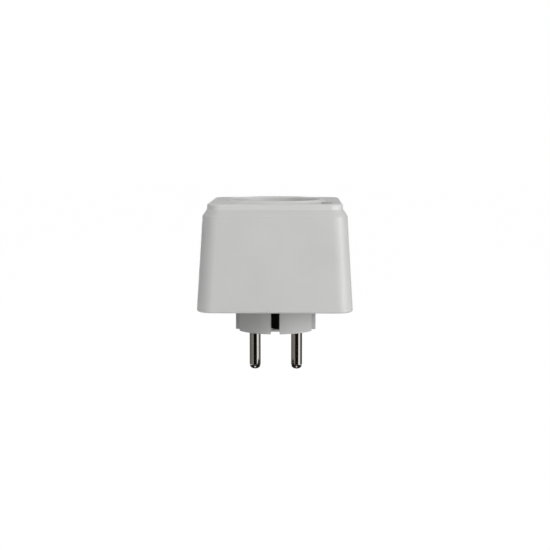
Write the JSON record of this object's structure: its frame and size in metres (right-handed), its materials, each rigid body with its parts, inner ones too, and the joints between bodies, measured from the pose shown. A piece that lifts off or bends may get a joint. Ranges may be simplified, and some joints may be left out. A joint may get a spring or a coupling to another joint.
{
  "type": "plug in power meter",
  "caption": "Square plug-in power meter for round-pin mains outlets, with plug boss and pins below, recessed earthed socket, soft ring and small push button on top.",
  "frame": {"origin": "centre of the plug face, between the two round pins", "axes": "+Z out of the wall outlet towards the user, X through the two plug pins, Y through the two side earth contacts"},
  "size_m": [0.0674, 0.0674, 0.078],
  "materials": {
    "housing_plastic": "light grey satin moulding",
    "housing_plastic_rear": "light grey satin moulding",
    "plate_plastic": "light grey satin moulding",
    "button_plastic": "mid grey satin",
    "carrier_plastic": "plain",
    "shutter_plastic": "plain",
    "nickel": "polished nickel plate on brass",
    "contact_brass": "stamped brass",
    "screw_steel": "zinc plated",
    "board_laminate": "green solder mask",
    "relay_case": "blue case",
    "capacitor_case": "yellow case",
    "capacitor_sleeve": "black sleeve",
    "inductor_core": "ferrite with copper winding",
    "varistor_coat": "blue epoxy",
    "resistor_coat": "green coat",
    "shunt_alloy": "resistance alloy strip",
    "chip_body": "black epoxy",
    "shield_tin": "tin plate",
    "led_lens": "clear lens",
    "ribbon_insulation": "grey flat cable"
  },
  "bodies": {
    "meter": {"housing_shell": "housing_plastic", "rear_cover": "housing_plastic_rear", "face_plate": "plate_plastic", "housing_screws": "screw_steel", "plug_pin_line": "nickel", "plug_pin_neutral": "nickel", "plug_earth_strap": "nickel", "earth_pin_sleeve": "contact_brass", "earth_link": "contact_brass", "socket_earth_strap": "nickel", "socket_contact_line": "contact_brass", "socket_contact_neutral": "contact_brass", "contact_carrier": "carrier_plastic", "carrier_screws": "screw_steel", "shutter_spring": "screw_steel", "main_board": "board_laminate", "board_screws": "screw_steel", "relay": "relay_case", "filter_capacitor": "capacitor_case", "smoothing_capacitors": "capacitor_sleeve", "filter_inductor": "inductor_core", "varistor": "varistor_coat", "fuse_resistor": "resistor_coat", "current_shunt": "shunt_alloy", "metering_chip": "chip_body", "supply_chip": "chip_body", "radio_module": "board_laminate", "radio_shield": "shield_tin", "button_board": "board_laminate", "button_board_screws": "screw_steel", "tact_switch": "chip_body", "status_led": "led_lens", "ribbon_cable": "ribbon_insulation"},
    "button": {"button_cap": "button_plastic", "switch_plunger": "shutter_plastic"},
    "shutter": {"shutter_disc": "shutter_plastic"}
  },
  "joints": [
    {"name": "button_press", "type": "slide", "parent": "meter", "child": "button", "axis": [0, 0, -1], "range_m": [0, 0.0005], "stiffness_N_per_m": 500},
    {"name": "shutter_turn", "type": "hinge", "parent": "meter", "child": "shutter", "pos_m": [0, 0, 0.037], "axis": [0, 0, 1], "range_deg": [0, 40], "stiffness_Nm_per_rad": 0.01, "deforming": ["shutter_spring"]}
  ]
}
